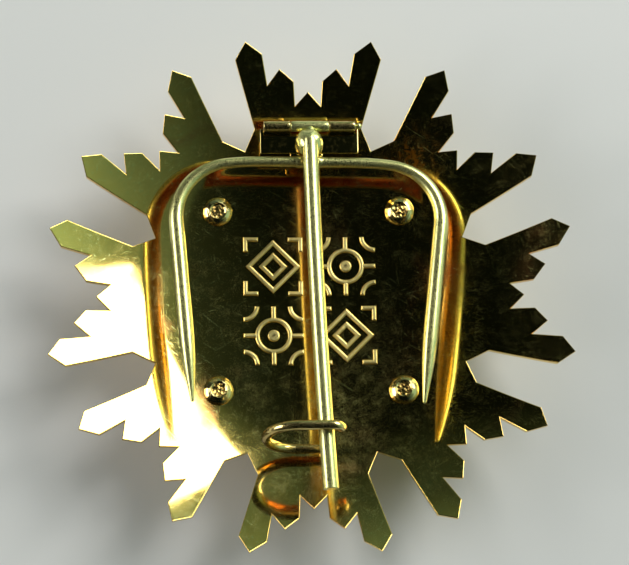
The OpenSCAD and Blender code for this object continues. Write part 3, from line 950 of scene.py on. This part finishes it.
def tube(x0, x1, outer, inner, edge=0.12):
    # knuckle along X with rounded rims

    def rim(z, s):
        bevel = edge * 0.3
        return [(inner, z), (outer - edge, z), (outer - bevel, z + s * bevel), (outer, z + s * edge)]

    profile = rim(x0, 1) + [(outer, x0 + (x1 - x0) * k / 6) for k in range(1, 6)] + rim(x1, -1)[::-1]
    return placed(lathe(profile, 48, closed=True), Matrix.Rotation(pi / 2, 4, "Y"))


def atHinge(shape):
    return placed(shape, Matrix.Translation((0, *pin["hinge"])))


def solderKnob():
    # a lump of solder, uneven all round, with a flat underside
    p = pin
    profile = [(0.0, -1.0)] + [(cos(radians(t)), sin(radians(t))) for t in range(-80, 81, 8)] + [(0.0, 1.0)]
    points, faces = lathe(profile, 64)
    middle = Vector(p["knob"])
    out = []
    for x, y, z in points:
        way = Vector((x, y, z))
        lump = noise.noise(way * 1.3 + Vector((3.1, 0, 0))) * 0.16 + noise.noise(way * 3.1) * 0.14 - 0.05
        spot = middle + way * (p["knobRadius"] + lump)
        spot.z = max(spot.z, p["knobFloor"])
        out.append(tuple(spot))
    return out, faces


def makePin():
    p = pin
    hingeY, hingeZ = p["hinge"]
    start, straight, squared = p["bow"]
    rod = []
    for k in range(91):
        t = k / 90
        x = start + straight * t + squared * t * t
        rod.append([x, p["top"] + (p["end"] - p["top"]) * t, p["z"], p["width"] / 2])
    rod = flatEnd(roundEnd(wavy(rod, *p["wander"]), back=True, steps=10))
    strap = [[x, hingeY - before, hingeZ + above, radius] for x, before, above, radius in p["strap"]]
    knuckle = atHinge(tube(*p["knuckle"], p["knuckleRadius"], p["bore"]))
    shape = joined(sweep(rod, 48), solderKnob(), sweep(strap, 32), knuckle)
    makePiece("pinOnKnob", shape, ["pin"], body="pin_body", replaces=["pin"])


makePin()
print("wires and pin made")

# Hinge bracket and its wire

bracket = {
    "left": -8.4,
    "right": 8.2,
    "frontY": 23.55,
    "backY": 27.9,
    "top": 16.4,
    "nominalFoot": 7.0,  # the foot itself follows the dish, a gap above it
    "gap": 0.04,
    "barrelLeft": -7.8,
    "barrelRight": 7.6,
    "middle": (-3.3, 3.25),
    "solder": (-3.4, 2.2),
    "edge": 0.18,
    "wireRadius": 0.42,
    "ballRadius": 0.55,
    "ballBeyond": 0.62,
}


def roundedBlock(low, high, edge, onDish=False, cuts=(16, 5, 3)):
    # block with rounded edges; its underside may follow the dish
    low, high = np.array(low, float), np.array(high, float)
    grids = []
    for a, b, n in zip(low, high, cuts):
        inner = [a + edge + (b - a - 2 * edge) * k / n for k in range(n + 1)]
        grids.append([a, a + edge * 0.3] + inner + [b - edge * 0.3, b])
    index, points, faces = {}, [], []

    def spot(i, j, k):
        if (i, j, k) not in index:
            p = np.array([grids[0][i], grids[1][j], grids[2][k]])
            core = np.clip(p, low + edge, high - edge)
            away = p - core
            if np.linalg.norm(away) > 1e-9:
                p = core + unit(away) * edge
            if onDish:
                floor = dishHeight(p[0], p[1]) + bracket["gap"]
                p[2] = floor + (p[2] - low[2]) * (high[2] - floor) / (high[2] - low[2])
            index[(i, j, k)] = len(points)
            points.append(tuple(p))
        return index[(i, j, k)]

    sizes = [len(g) - 1 for g in grids]
    for axis in range(3):
        u, v = (axis + 1) % 3, (axis + 2) % 3
        for end in (0, sizes[axis]):
            for i in range(sizes[u]):
                for j in range(sizes[v]):
                    face = []
                    for di, dj in ((0, 0), (1, 0), (1, 1), (0, 1)):
                        key = [0, 0, 0]
                        key[axis], key[u], key[v] = end, i + di, j + dj
                        face.append(spot(*key))
                    faces.append(face if end else face[::-1])
    return points, faces


def makeBracket():
    b, p = bracket, pin
    hingeY, hingeZ = p["hinge"]
    top, barrelLeft, barrelRight = b["top"], b["barrelLeft"], b["barrelRight"]
    block = roundedBlock((b["left"], b["frontY"], b["nominalFoot"]), (b["right"], b["backY"], top), b["edge"],
                         onDish=True)
    solder = roundedBlock((b["solder"][0], hooks["barY"] + hooks["barWire"] / 2 + 0.1, top - 1.4),
                          (b["solder"][1], b["frontY"] + 0.3, top - 0.3), 0.25, cuts=(10, 2, 2))
    shapes, looksOf = [block, solder], [0] * (len(block[1]) + len(solder[1]))
    for x0, x1 in ((barrelLeft, b["middle"][0]), (b["middle"][1], barrelRight)):
        barrel = atHinge(tube(x0, x1, p["knuckleRadius"], p["bore"]))
        foot = roundedBlock((x0 + 0.02, hingeY - p["knuckleRadius"] + 0.02, top - 0.8),
                            (x1 - 0.02, hingeY - 0.3, hingeZ - 0.35), 0.1, cuts=(4, 2, 2))
        shapes += [barrel, foot]
        looksOf += [1] * len(barrel[1]) + [0] * len(foot[1])
    makePiece("hingeBracket", joined(*shapes), ["block", "smooth"], replaces=["hinge_bracket"],
              looksOf=looksOf)
    along = np.linspace(barrelLeft + 0.1, barrelRight + 0.2, 20)
    wire = [[x, hingeY, hingeZ, b["wireRadius"]] for x in along]
    ballX, ballRadius = barrelRight + b["ballBeyond"], b["ballRadius"]
    ball = [[ballX + ballRadius * sin(t), hingeY, hingeZ, ballRadius * cos(t)]
            for t in np.radians(np.linspace(-55, 86, 12))]
    wire = roundEnd(wire + ball[:1], back=True, flat=0.4)[:-1] + ball
    makePiece("hingeWire", sweep(wire, 32), ["pin"], replaces=["hinge_wire"])


makeBracket()
print("hinge made")

# The plain front keeps its CAD solids and gets its finish

for node in ("front_plate", "front_boss"):
    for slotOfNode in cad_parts[node].material_slots:
        slotOfNode.material = materials["front"]

# Floor, lights and surroundings

studio = {
    "floorColour": "D9D8D4",
    "floorRoughness": 0.85,
    "floorTooth": 1.5,
    "floorHalf": 1500.0,
    "boxAim": (0, 0, 16.2),  # the wires' height in the middle of the object
    "boxDistance": 700.0,
    "boxAzimuth": 42.4,
    "boxElevation": 35.0,
    "boxRoll": -14.3,
    "boxAcross": (-285.0, 222.0),
    "boxUp": (-113.0, 247.0),
    "boxRadiance": 8.0,
    "sideRadiance": 6.0,
    "sidePlace": (-700, 30, 340),
    "sideFacing": (-0.9, 0, 0.43),
    "sideSize": (560, 330),
    # surroundings: a direction round the object, and places along it from 0 to 1 with their brightness
    "skyTint": (0.62, 1.0, 0.86),
    "skyRight": (15, [(0.0, 0.004), (0.14, 0.006), (0.3, 0.06), (0.5, 0.17), (0.62, 0.30), (0.76, 0.66)]),
    "skyFar": (95, [(0.6, 0.0), (0.8, 0.05), (0.88, 0.16), (1.0, 0.28)]),
}


def makeFloor():
    half = studio["floorHalf"]
    data = bpy.data.meshes.new("floor")
    corners = [(x * half * mm, y * half * mm, 0) for x, y in ((-1, -1), (1, -1), (1, 1), (-1, 1))]
    data.from_pydata(corners, [], [[0, 1, 2, 3]])
    floor = bpy.data.objects.new("floor", data)
    scene.collection.objects.link(floor)
    # Matt painted board: an even pale grey with a very fine tooth
    material, tree, shader, place = newMaterial("paintedBoardMatt")
    scale = perMetre(studio["floorTooth"])
    tooth = addNode(tree, "TexNoise", {"Vector": place, "Scale": scale, "Detail": 3.0})
    bump = addNode(tree, "Bump", {"Height": tooth.outputs["Fac"], "Distance": 0.02 * mm, "Strength": 0.5})
    tree.links.new(bump.outputs[0], shader.inputs["Normal"])
    shader.inputs["Base Color"].default_value = linear(studio["floorColour"])
    shader.inputs["Roughness"].default_value = studio["floorRoughness"]
    data.materials.append(material)


def acrossAndUp(facing, roll):
    # a light's own two directions, turned by roll round the way it faces
    u = Vector((0, 0, 1)).cross(facing).normalized()
    v = facing.cross(u)
    r = radians(roll)
    return cos(r) * u + sin(r) * v, cos(r) * v - sin(r) * u


def areaLight(name, middle, facing, roll, across, up, radiance):
    # rectangle that shines from middle towards -facing, with a given radiance
    data = bpy.data.lights.new(name, "AREA")
    data.shape = "RECTANGLE"
    data.size, data.size_y = across * mm, up * mm
    data.energy = radiance * pi * across * up * mm * mm
    facing = Vector(facing).normalized()
    lightObject = bpy.data.objects.new(name, data)
    matrix = Matrix((*acrossAndUp(facing, roll), facing)).transposed().to_4x4()
    matrix.translation = Vector(middle) * mm
    lightObject.matrix_world = matrix
    scene.collection.objects.link(lightObject)


def makeLights():
    s = studio
    azimuth, elevation = radians(s["boxAzimuth"]), radians(s["boxElevation"])
    facing = Vector((cos(elevation) * cos(azimuth), cos(elevation) * sin(azimuth), sin(elevation)))
    u, v = acrossAndUp(facing, s["boxRoll"])
    (left, right), (low, high) = s["boxAcross"], s["boxUp"]
    middle = Vector(s["boxAim"]) + facing * s["boxDistance"] + u * (left + right) / 2 + v * (low + high) / 2
    areaLight("softbox", middle, facing, s["boxRoll"], right - left, high - low, s["boxRadiance"])
    areaLight("sideLight", s["sidePlace"], s["sideFacing"], 0, *s["sideSize"], s["sideRadiance"])


def makeSky():
    # a dark room with a pale wall on its right side and another behind the object, low down
    world = bpy.data.worlds.new("surroundings")
    scene.world = world
    world.use_nodes = True
    tree = world.node_tree
    place = addNode(tree, "TexCoord").outputs["Generated"]
    walls = []
    for angle, stops in (studio["skyRight"], studio["skyFar"]):
        way = addNode(tree, "VectorMath", {0: place, 1: (*polar(1, angle), 0)}, operation="DOT_PRODUCT")
        ramp = addNode(tree, "ValToRGB", {"Fac": way.outputs["Value"]})
        elements = ramp.color_ramp.elements
        while len(elements) < len(stops):
            elements.new(0.5)
        for element, (at, brightness) in zip(elements, stops):
            element.position = at
            element.color = (*(brightness * tint for tint in studio["skyTint"]), 1.0)
        walls.append(ramp.outputs[0])
    total = addNode(tree, "VectorMath", {0: walls[0], 1: walls[1]}, operation="ADD")
    tree.links.new(total.outputs[0], tree.nodes["Background"].inputs["Color"])
    tree.nodes["Background"].inputs["Strength"].default_value = 1.0


makeFloor()
makeLights()
makeSky()
scene.view_settings.view_transform = "Standard"
print("studio made")
